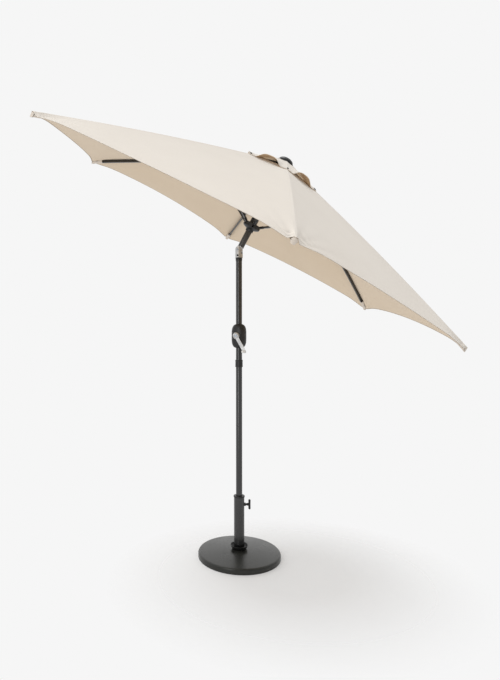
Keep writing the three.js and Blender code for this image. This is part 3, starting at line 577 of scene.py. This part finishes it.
def pocket(number):
    """The sleeve sewn under a corner, which the rib's end sits in."""
    place = CANOPY @ Matrix.Rotation((number - 1) * 2 * HALF, 4, "Z")
    steps = 14
    # Across the rib, and the share of the way up from the floor to the roof.
    section = [(-0.0150, 1.0), (-0.0126, 0.72), (-0.0110, 0.36), (-0.0080, 0.07), (0.0, 0.0),
               (0.0080, 0.07), (0.0110, 0.36), (0.0126, 0.72), (0.0150, 1.0)]
    outer, inner = [], []

    def cloth_edge(y):
        across = abs(y) / (CANOPY_RADIUS * math.sin(HALF) * math.cos(HALF))
        return skin_point(number, 1.0, across, 1 if y > 0 else -1)

    def sleeve_top(radius, y):
        rho = radius + abs(y) * math.tan(HALF)
        along = (rho - VENT_HOLE_RADIUS) / SKIN_LENGTH
        across = abs(y) / (rho * math.sin(HALF) * math.cos(HALF))
        return skin_point(number, min(1, along), across, 1 if y > 0 else -1).z - POCKET_GAP

    for step in range(steps + 1):
        share = step / steps
        end_radius = CANOPY_RADIUS - POCKET_LENGTH * (1 - share)
        flare = 1 + 0.10 * (1 - share) ** 2 + 0.05 * math.sin(share * 11 + number)
        floor = rib_height(end_radius) - POCKET_DEPTH
        set_back = POCKET_WALL if step == steps else 0.0
        for index, (y, rise) in enumerate(section):
            radius = end_radius - (CANOPY_RADIUS - cloth_edge(y).x) * share**3
            roof = sleeve_top(radius, y * flare)
            wobble = 0.0010 * noise.noise(Vector((number * 3.1, share * 6, index * 0.8))) * (1 - rise)
            point = Vector((radius, y * flare, floor + (roof - floor) * rise + wobble))
            outer.append(place @ point)
            sideways = math.copysign(0.0011, -y) if y else 0.0
            inward = Vector((-set_back, sideways, 0.0010 if rise < 1 else 0.0))
            inner.append(place @ (point + inward))
    wide, count = len(section), len(outer)
    back = Vector((POCKET_WALL, 0, 0))
    crest = [cloth_edge(y) - Vector((0, 0, 0.0006))
             for y in (0.0120, 0.0090, 0.0065, 0.0, -0.0065, -0.0090, -0.0120)]
    outer_crest = [place @ point for point in crest]
    inner_crest = [place @ (point - back) for point in crest]
    faces, slots = [], []
    for step in range(steps):
        for index in range(wide - 1):
            a, b = step * wide + index, (step + 1) * wide + index
            faces.append((a, b, b + 1, a + 1))
            faces.append((a + count, a + 1 + count, b + 1 + count, b + count))
            slots += [0, 1]
    for index in range(wide - 1):
        faces.append((index, index + 1, index + 1 + count, index + count))
        slots.append(2)
    end = steps * wide
    outer_ring = [end + index for index in range(wide)]
    outer_ring += [2 * count + index for index in range(len(crest))]
    inner_ring = [end + index + count for index in range(wide)]
    inner_ring += [2 * count + len(crest) + index for index in range(len(crest))]
    centre = Vector((end_radius + 0.0004, 0, rib_height(end_radius)))
    caps = [place @ centre, place @ (centre - back)]
    hub = 2 * count + 2 * len(crest)
    for index in range(len(outer_ring)):
        after = (index + 1) % len(outer_ring)
        faces.append((outer_ring[index], outer_ring[after], hub))
        faces.append((inner_ring[after], inner_ring[index], hub + 1))
        slots += [0, 1]
    for index in range(wide - 1, len(outer_ring)):
        after = (index + 1) % len(outer_ring)
        faces.append((outer_ring[index], inner_ring[index], inner_ring[after], outer_ring[after]))
        slots.append(0)
    for step in range(steps):
        for edge in (0, wide - 1):
            a, b = step * wide + edge, (step + 1) * wide + edge
            faces.append((a, a + count, b + count, b) if edge == 0 else (a, b, b + count, a + count))
            slots.append(0)
    everything = outer + inner + outer_crest + inner_crest + caps
    made = make_object(f"rib_pocket_{number}", everything, faces, [POCKET, UNDERSIDE_PAINTED_DAYLIGHT, HEM_EDGE], slots)
    marks = []
    for step in range(steps + 1):
        from_mouth = POCKET_LENGTH * step / steps
        for index in range(wide):
            around = index * POCKET_MARK_STEP
            marks.append((around, from_mouth, 1.0, from_mouth, around, 0.0))
    end_marks = [(POCKET_LENGTH,) * len(CLOTH_MARKS)] * (2 * len(crest) + 2)
    mark_cloth(made, marks * 2 + end_marks)
    finish_edges(made, 0)
    return settle(made, "canopy_fabric", f"rib_{number}")


def vent_cap():
    """The small upper canopy: corners down on the ribs, edges arched between them."""
    rings, per_side = 34, 26
    top, bottom, normals, marks = [], [], [], []

    def cap_point(out, side, along):
        radius = VENT_CROWN_RADIUS + (VENT_RADIUS - VENT_CROWN_RADIUS) * out if out >= 0 else 0.012
        corners = [side * 2 * HALF, (side + 1) * 2 * HALF]
        x, y = (radius * (f(corners[0]) * (1 - along) + f(corners[1]) * along) for f in (math.cos, math.sin))
        reach = max(0.0, out)
        middle_part = max(0.0, (math.sin(math.pi * along) - 0.50) / 0.50)
        arch = VENT_ARCH * middle_part**2 * (3 - 2 * middle_part) * reach**2.2
        flutter = -VENT_FLUTTER * math.sin(math.pi * along) ** 0.8 * (1 - middle_part) * reach**3
        fall = (VENT_CROWN - VENT_CORNER) * reach
        return Vector((x, y, VENT_CROWN - fall + arch + flutter))

    outs = [-1.0, 0.0] + [step / rings for step in range(1, rings)] + [0.965, 1.0]
    wide = RIB_COUNT * per_side
    delta = 1e-3
    for out in outs:
        for side in range(RIB_COUNT):
            for step in range(per_side):
                along = step / per_side
                here = cap_point(out, side, along)
                base_out, off_crown = max(out, 0), max(out, 0.01)
                radial = cap_point(base_out + delta, side, along) - cap_point(base_out, side, along)
                around = cap_point(off_crown, side, along + delta) - cap_point(off_crown, side, along)
                normal = radial.cross(around).normalized() if out > 0 else Vector((0, 0, 1))
                radius = math.hypot(here.x, here.y)
                from_rim = (1 - base_out) * (VENT_RADIUS - VENT_CROWN_RADIUS)
                from_ridge = min(along, 1 - along) * radius
                folded = 0.0005 * (from_rim < 0.009) + 0.0006 * (from_ridge < SEAM * 0.8)
                top.append(CANOPY @ (here + normal * folded))
                bottom.append(CANOPY @ (here - normal * (CLOTH + folded)))
                normals.append(CANOPY.to_3x3() @ normal)
                marks.append(((along - 0.5) * radius, radius, from_ridge, from_rim * 1.9,
                              along * radius, radius))
    count = len(top)
    faces, slots = [], []
    for ring in range(len(outs) - 1):
        for step in range(wide):
            after = (step + 1) % wide
            a, b = ring * wide + step, (ring + 1) * wide + step
            c, d = (ring + 1) * wide + after, ring * wide + after
            faces.append((a, b, c, d))
            faces.append((a + count, d + count, c + count, b + count))
            slots += [0, 1]
    edge = (len(outs) - 1) * wide
    for step in range(wide):
        after = (step + 1) % wide
        faces.append((edge + step, edge + step + count, edge + after + count, edge + after))
        faces.append((step, after, after + count, step + count))
        slots += [2, 2]
    made = make_object("vent_cap", top + bottom, faces, [CREAM, VENT_UNDERSIDE_PAINTED_DAYLIGHT, HEM_EDGE], slots)
    mark_cloth(made, marks * 2)
    settle(made, "canopy_fabric", "canopy_pole", "vent_canopy")
    studs = []
    head = [(0, -0.002), (0.0062, -0.002), (0.0062, 0.0008), (0.0042, 0.0030), (0, 0.0036)]
    corner = Matrix.Translation((VENT_RADIUS - VENT_STUD_INSET, 0, VENT_CORNER + 0.0066))
    for number in range(RIB_COUNT):
        place = CANOPY @ Matrix.Rotation(number * 2 * HALF, 4, "Z") @ corner
        place = place @ Matrix.Rotation(math.atan(rib_fall(VENT_RADIUS)), 4, "Y")
        studs.append(add_lathed(f"vent_stud_{number + 1}", head, "plastic_black", "canopy_pole",
                                axis=place, sides=32))
    return made, studs


for number in range(1, RIB_COUNT + 1):
    panel = gore(number)
    sleeve = pocket(number)
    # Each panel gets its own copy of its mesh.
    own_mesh(panel)

cap, cap_studs = vent_cap()


# ---------------------------------------------------------------- base, tubes and turned pieces

BASE_RIM_HEIGHT = 0.034
BASE_RIM_ROUND = 0.010
BASE_FLAT_RADIUS = 0.036
STAND_TUBE_RADIUS = 0.0315
STAND_TUBE_WALL = 0.0025
POLE_RADIUS = 0.019
POLE_WALL = 0.0015


def span(node):
    """The lowest and highest Z of a CAD node."""
    low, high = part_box(node)
    return low.z, high.z


def base():
    """The resin shell: an upright edge, a domed top and the hollow under it."""
    low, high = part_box("base_shell")
    radius, rim = high.x, low.z + BASE_RIM_HEIGHT
    crown = high.z

    def top(r):
        share = min(1, (r - BASE_FLAT_RADIUS) / (radius - BASE_RIM_ROUND - BASE_FLAT_RADIUS))
        return crown - (crown - rim) * share**1.5

    outline = [(radius - 0.004, 0.0), (radius - 0.002, 0.0), (radius, 0.002), (radius, rim - 0.010),
               (radius - 0.0014, rim - 0.0055), (radius - 0.0048, rim - 0.0018), (radius - BASE_RIM_ROUND, rim)]
    outline += [(r, top(r)) for r in (0.225, 0.21, 0.18, 0.15, 0.12, 0.09, 0.06, 0.045)]
    outline += [(0.0318, crown), (0.0318, crown - 0.004), (0.110, top(0.11) - 0.004),
                (radius - 0.012, rim - 0.004), (radius - 0.004, rim - 0.010)]
    add_lathed("base_shell_turned", outline, "base_resin", "stand", "base_shell", radius=0.0015, sides=192)


def tube(node, body, radius, wall, low, high, axis=Matrix.Identity(4)):
    """A drawn steel tube in place of a CAD node."""
    outline = [(radius - wall, low), (radius, low), (radius, high), (radius - wall, high)]
    add_lathed(f"{node}_drawn", outline, "steel_black", body, node, axis=axis, radius=0.0006)


def stand():
    """The collar, the tube and the bush that the pole stands in."""
    low, _ = span("foot_collar")
    cup = [(0.0318, low), (0.040, low), (0.0445, low + 0.005), (0.0492, low + 0.013), (0.0520, low + 0.020),
           (0.0530, low + 0.0232), (0.0518, low + 0.024), (0.0500, low + 0.0232), (0.0455, low + 0.014),
           (0.0400, low + 0.008), (0.0318, low + 0.008)]
    add_lathed("foot_collar_turned", cup, "plastic_black", "stand", "foot_collar", sides=128)
    tube("stand_tube", "stand", STAND_TUBE_RADIUS, STAND_TUBE_WALL, *span("stand_tube"))
    low, high = span("tube_bush")
    bush = [(0.01935, low), (0.0287, low), (0.0287, high - 0.0097), (0.0340, high - 0.0097),
            (0.0340, high - 0.002), (0.0325, high), (0.01935, high)]
    add_lathed("tube_bush_turned", bush, "plastic_black", "stand", "tube_bush")


def mast():
    """The two lengths of pole, the collar over their joint and the ring at the top."""
    tube("lower_pole", "mast", POLE_RADIUS, POLE_WALL, *span("lower_pole"))
    tube("upper_pole", "mast", POLE_RADIUS, POLE_WALL, *span("upper_pole"))
    low, high = span("pole_collar")
    collar = [(0.0193, low), (0.0222, low), (0.0230, low + 0.002), (0.0230, low + 0.008),
              (0.0224, low + 0.0095), (0.0224, high - 0.0095), (0.0230, high - 0.008), (0.0230, high - 0.002),
              (0.0222, high), (0.0193, high)]
    add_lathed("pole_collar_turned", collar, "plastic_black", "mast", "pole_collar")
    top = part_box("upper_pole")[1].z
    ring = [(0.0192, top - 0.016), (0.0202, top - 0.016), (0.0202, top - 0.0005), (0.0192, top - 0.0005)]
    add_lathed("pole_top_ring", ring, "plastic_black", "mast", radius=0.0004)


def canopy_points(node):
    """A CAD node's vertices in the canopy's frame."""
    return [in_canopy(vertex.co) for vertex in frame["nodes"][node].data.vertices]


def canopy_tube():
    heights = [point.z for point in canopy_points("canopy_tube")]
    tube("canopy_tube", "canopy_pole", POLE_RADIUS, POLE_WALL, min(heights), max(heights), axis=CANOPY)


def finial():
    """The mushroom-shaped cap, with the stem that goes down into the hub."""
    points = canopy_points("finial")
    top, radius = max(point.z for point in points), max(point.x for point in points)
    flange = VENT_CROWN + 0.0003
    outline = [(0, HUB_HEIGHT - 0.005), (0.006, HUB_HEIGHT - 0.005), (0.006, flange), (radius - 0.0006, flange),
               (radius, flange + 0.0015), (radius - 0.0008, flange + 0.003)]
    dome = top - flange - 0.0035
    for step in range(12):
        turn = step * math.pi / 24
        outline.append(((radius - 0.005) * math.cos(turn), flange + 0.0035 + dome * math.sin(turn)))
    outline.append((0, top))
    add_lathed("finial_turned", outline, "plastic_black", "canopy_pole", "finial", axis=CANOPY)


base()
stand()
mast()
canopy_tube()
finial()


# ---------------------------------------------------------------- crank

HOUSING_RADIUS = 0.045
HOUSING_STRAIGHT = 0.041
HOUSING_MOUTH = 0.0188  # the radius at both ends, just inside the pole's surface
PARTING_LINE = 0.0009
CLAMP_BAR_RADIUS = 0.007
QUARTER_TURN = math.radians(90)


def housing():
    """One moulded shell for both halves, with the parting line cut round it."""
    low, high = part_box("crank_housing_front")
    centre = (low.z + high.z) / 2
    half_height, front = (high.z - low.z) / 2, -low.y
    end = half_height - HOUSING_STRAIGHT
    sides, rows = 96, 72
    vertices, faces = [], []
    for row in range(rows + 1):
        rise = math.radians(-90 + 180 * row / rows)
        z = math.copysign(HOUSING_STRAIGHT * abs(math.sin(rise)) ** 0.30, rise) if abs(rise) > 1e-9 else 0.0
        z += end * math.sin(rise)
        r = HOUSING_MOUTH
        if abs(math.sin(rise)) < 0.9999:
            r = max(HOUSING_MOUTH, HOUSING_RADIUS * math.cos(rise) ** 0.62)
        for side in range(sides):
            turn = 2 * math.pi * side / sides
            x, y = r * math.cos(turn), r * math.sin(turn)
            if y < 0:
                flat = front * (r / HOUSING_RADIUS) ** 0.35
                y = -((-y) ** -9 + flat**-9) ** (-1 / 9) if y < -1e-6 else y
            if abs(y) < PARTING_LINE:
                x *= 1 - PARTING_LINE / max(r, 0.02)
            vertices.append((x, y, centre + z))
    for row in range(rows):
        for side in range(sides):
            after = (side + 1) % sides
            a, b = row * sides, (row + 1) * sides
            faces.append((a + side, a + after, b + after, b + side))
    faces.append(tuple(reversed(range(sides))))
    faces.append(tuple(rows * sides + side for side in range(sides)))
    made = make_object("crank_housing", vertices, faces, [MATERIALS["plastic_black"]])
    settle(made, "plastic_black", "mast", "crank_housing_front", "crank_housing_rear")


def crank_trim():
    """The bright ring and the screw on the front of the crank's boss."""
    axle = Vector(JOINTS["crank_turn"]["pos_m"])
    boss_front = min(vertex.co.y for vertex in frame["nodes"]["crank_arm"].data.vertices
                     if (vertex.co - Vector((axle.x, vertex.co.y, axle.z))).length < 0.021)
    out = Matrix.Translation((axle.x, boss_front, axle.z)) @ Matrix.Rotation(QUARTER_TURN, 4, "X")
    ring = [(0.0118, -0.001), (0.0142, -0.001), (0.0142, 0.0010), (0.0130, 0.0016), (0.0118, 0.0010)]
    add_lathed("crank_boss_ring", ring, "cast_silver", "crank", axis=out, radius=0.0003)
    head = [(0, -0.001), (0.0072, -0.001), (0.0072, 0.0014), (0.0058, 0.0030), (0, 0.0036)]
    add_lathed("crank_screw", head, "zinc", "crank", axis=out, radius=0.0004, sides=48)


def grip():
    """The crank's knob, waisted behind its collar."""
    low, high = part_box("crank_grip")
    length = high.y - low.y
    root = Matrix.Translation(((low.x + high.x) / 2, high.y, (low.z + high.z) / 2))
    place = root @ Matrix.Rotation(QUARTER_TURN, 4, "X")
    outline = [(0.0044, 0), (0.0072, 0), (0.0078, 0.0012), (0.0070, 0.006), (0.0070, 0.010), (0.0076, 0.018),
               (0.0080, length - 0.007), (0.0074, length - 0.003), (0.0050, length - 0.0004), (0, length),
               (0, length - 0.005), (0.0044, length - 0.005)]
    add_lathed("crank_grip_turned", outline, "grip_plastic", "crank_grip", "crank_grip", axis=place, sides=48)


def handle():
    """The T-bar of the clamp screw: a rounded bar on a short neck."""
    points = [vertex.co for vertex in frame["nodes"]["clamp_handle"].data.vertices]
    tip = max(points, key=lambda point: point.x * point.x + point.y * point.y)
    height = JOINTS["clamp_screw_turn"]["pos_m"][2]
    axis = Vector(JOINTS["clamp_screw_turn"]["axis"])
    outward = Vector((axis.x, axis.y, 0)).normalized()
    outward = outward if outward.dot(Vector((tip.x, tip.y, 0))) > 0 else -outward
    reach = max(point.dot(outward) for point in points) - CLAMP_BAR_RADIUS
    half_height = (max(point.z for point in points) - min(point.z for point in points)) / 2
    sideways = outward.cross(Vector((0, 0, 1)))
    upright = half_height > 0.012
    bar_axis = Vector((0, 0, 1)) if upright else sideways
    half = half_height if upright else max(abs(point.dot(sideways)) for point in points)
    centre = outward * reach + Vector((0, 0, height))
    turned = Matrix((bar_axis.cross(outward), outward, bar_axis)).transposed().to_4x4()
    bar = [(0, -half)]
    for step in range(1, 9):
        turn = math.radians(90 * step / 8)
        bar.append((CLAMP_BAR_RADIUS * math.sin(turn), -half + CLAMP_BAR_RADIUS * (1 - math.cos(turn))))
    bar.append((0.0064, 0))
    bar += [(r, -z) for r, z in reversed(bar[:-1])]
    add_lathed("clamp_bar_moulded", bar, "plastic_black", "clamp_screw", "clamp_handle",
               axis=Matrix.Translation(centre) @ turned, radius=0.0003, sides=48)
    neck_turn = Matrix((bar_axis.cross(outward), bar_axis, outward)).transposed().to_4x4()
    neck = [(0.0053, -0.024), (0.0066, -0.024), (0.0066, -0.0145), (0.0080, -0.013), (0.0088, -0.010),
            (0.0084, -0.004), (0.0053, -0.003)]
    add_lathed("clamp_neck", neck, "plastic_black", "clamp_screw",
               axis=Matrix.Translation(centre) @ neck_turn, radius=0.0006, sides=48)


housing()
crank_trim()
grip()
handle()

# ---------------------------------------------------------------- CAD nodes that are shown as they are

BEVELS = {"base_ballast": 0.002, "base_plate": 0.0006, "top_hub": 0.0008, "runner": 0.0008,
          "tilt_socket": 0.0009, "tilt_knuckle": 0.0009, "crank_arm": 0.0007}
RIB_BEVEL = 0.0007
SMALL_BEVEL = 0.0004

for name, node in frame["nodes"].items():
    if node.hide_render:
        continue
    slot = next(part["material_slot"] for part in frame["record"]["subparts"] if part["node"] == name)
    node.data.materials.clear()
    node.data.materials.append(MATERIALS[slot])
    finish_edges(node, BEVELS.get(name, RIB_BEVEL if name.startswith("rib_") else SMALL_BEVEL))

# ---------------------------------------------------------------- camera, light and floor

CAMERA_PLACE = Vector((0.9778, -2.674, 1.2135))
CAMERA_LOOK = Vector((-0.4393, 0.8983, 0.0096))
LENS = 24.44
SHIFT = (0.0872, 0.0194)

PHOTO_RIGHT = Vector((0.8983, 0.4393, 0))
TO_CAMERA = Vector((0.4393, -0.8983, 0))
OVERHEAD = (-0.10 * PHOTO_RIGHT - 0.12 * TO_CAMERA + Vector((0, 0, 1))).normalized()
STRIP_PLACE = -2.1 * PHOTO_RIGHT + 3.4 * TO_CAMERA + Vector((0, 0, 1.7))
STRIP_SIZE = (0.42, 3.2)
STRIP_AIM = Vector((0, 0, 1.35))
BRIGHT_WALL = (-0.25 * PHOTO_RIGHT - 0.65 * TO_CAMERA + Vector((0, 0, 0.70))).normalized()
LIGHT_COLOR = (1.0, 0.998, 0.995)
# How far a direction faces the bright wall, from and to, and the light's strength at those two.
WALL_LEVELS = (-0.9, 0.9, 0.23, 1.19)
BELOW_HORIZON = 0.82
PAPER = 0.9216
FLOOR = 0.49
FLOOR_GLOW = 0.285
FLOOR_HALF = 1.6
SHADOW_CENTRE = 0.27 * PHOTO_RIGHT + 0.22 * TO_CAMERA
SHADOW_HALVES = ((PHOTO_RIGHT, 0.90), (TO_CAMERA, 0.78))


def add_camera():
    data = bpy.data.cameras.new("camera")
    data.lens = LENS
    data.shift_x, data.shift_y = SHIFT
    camera = bpy.data.objects.new("camera", data)
    camera.location = CAMERA_PLACE
    camera.rotation_euler = CAMERA_LOOK.to_track_quat("-Z", "Y").to_euler()
    bpy.context.scene.collection.objects.link(camera)
    bpy.context.scene.camera = camera


def add_world():
    """White all round for the camera. For everything else, bright at the back left and dim at the front right,
    with one level below the horizon."""
    world = bpy.data.worlds.new("studio")
    world.use_nodes = True
    tree = world.node_tree
    tree.nodes.clear()
    nodes, links = tree.nodes, tree.links
    direction = nodes.new("ShaderNodeTexCoord")
    facing = nodes.new("ShaderNodeVectorMath")
    facing.operation = "DOT_PRODUCT"
    facing.inputs[1].default_value = BRIGHT_WALL
    links.new(direction.outputs["Generated"], facing.inputs[0])
    level = nodes.new("ShaderNodeMapRange")
    level.interpolation_type = "SMOOTHSTEP"
    links.new(facing.outputs["Value"], level.inputs[0])
    for socket, value in zip(level.inputs[1:], WALL_LEVELS):
        socket.default_value = value
    split = nodes.new("ShaderNodeSeparateXYZ")
    links.new(direction.outputs["Generated"], split.inputs[0])
    below = nodes.new("ShaderNodeMath")
    below.operation = "LESS_THAN"
    below.inputs[1].default_value = 0
    links.new(split.outputs["Z"], below.inputs[0])
    level_or_floor = nodes.new("ShaderNodeMix")
    level_or_floor.inputs["B"].default_value = BELOW_HORIZON
    links.new(below.outputs[0], level_or_floor.inputs["Factor"])
    links.new(level.outputs[0], level_or_floor.inputs["A"])
    soft = nodes.new("ShaderNodeBackground")
    soft.inputs["Color"].default_value = (*LIGHT_COLOR, 1)
    links.new(level_or_floor.outputs[0], soft.inputs["Strength"])
    paper = nodes.new("ShaderNodeBackground")
    paper.inputs["Color"].default_value = (PAPER, PAPER, PAPER, 1)
    path = nodes.new("ShaderNodeLightPath")
    pick = nodes.new("ShaderNodeMixShader")
    links.new(path.outputs["Is Camera Ray"], pick.inputs[0])
    links.new(soft.outputs[0], pick.inputs[1])
    links.new(paper.outputs[0], pick.inputs[2])
    output = nodes.new("ShaderNodeOutputWorld")
    links.new(pick.outputs[0], output.inputs["Surface"])
    bpy.context.scene.world = world
    bpy.context.scene.view_settings.view_transform = "Standard"


def place_light(data, place, towards):
    data.color = LIGHT_COLOR
    light = bpy.data.objects.new(data.name, data)
    light.location = place
    light.rotation_euler = towards.to_track_quat("-Z", "Y").to_euler()
    bpy.context.scene.collection.objects.link(light)
    return light


def add_overhead():
    data = bpy.data.lights.new("overhead", "SUN")
    data.energy = 1.0
    data.angle = math.radians(36)
    return place_light(data, (0, 0, 4), -OVERHEAD)


def add_strip():
    """The tall soft box that draws the bright line down the tubes."""
    data = bpy.data.lights.new("strip", "AREA")
    data.shape = "RECTANGLE"
    data.size, data.size_y = STRIP_SIZE
    data.energy = 32
    return place_light(data, STRIP_PLACE, STRIP_AIM - STRIP_PLACE)


def add_floor():
    """Pale paper with a glow of its own, which fades out round the shadow."""
    made = Shader("paper", (FLOOR, FLOOR, FLOOR), 0.95, Specular_IOR_Level=0.05)
    made.color(made.mix(made.noise(1.6, 4.0), (FLOOR - 0.002,) * 3, (FLOOR + 0.002,) * 3))
    made.set("Emission Color", (1, 1, 1, 1))
    made.set("Emission Strength", FLOOR_GLOW)
    reaches = []
    for direction, half in SHADOW_HALVES:
        reach = made.tree.nodes.new("ShaderNodeVectorMath")
        reach.operation = "DOT_PRODUCT"
        reach.inputs[1].default_value = direction / half
        made.wire(reach.inputs[0], made.place())
        off = made.math("SUBTRACT", reach.outputs["Value"], SHADOW_CENTRE.dot(direction) / half)
        reaches.append(made.math("MULTIPLY", off, off))
    hold = made.spread(made.math("SQRT", made.math("ADD", *reaches)), 0.35, 1.15, 1.0, 0.0)
    made.wire(made.bsdf.inputs["Alpha"], hold)
    corners = [(x * FLOOR_HALF, y * FLOOR_HALF, 0) for x, y in ((-1, -1), (1, -1), (1, 1), (-1, 1))]
    floor = make_object("floor", corners, [(0, 1, 2, 3)], [made.material])


add_camera()
add_world()
add_overhead()
add_strip()
add_floor()
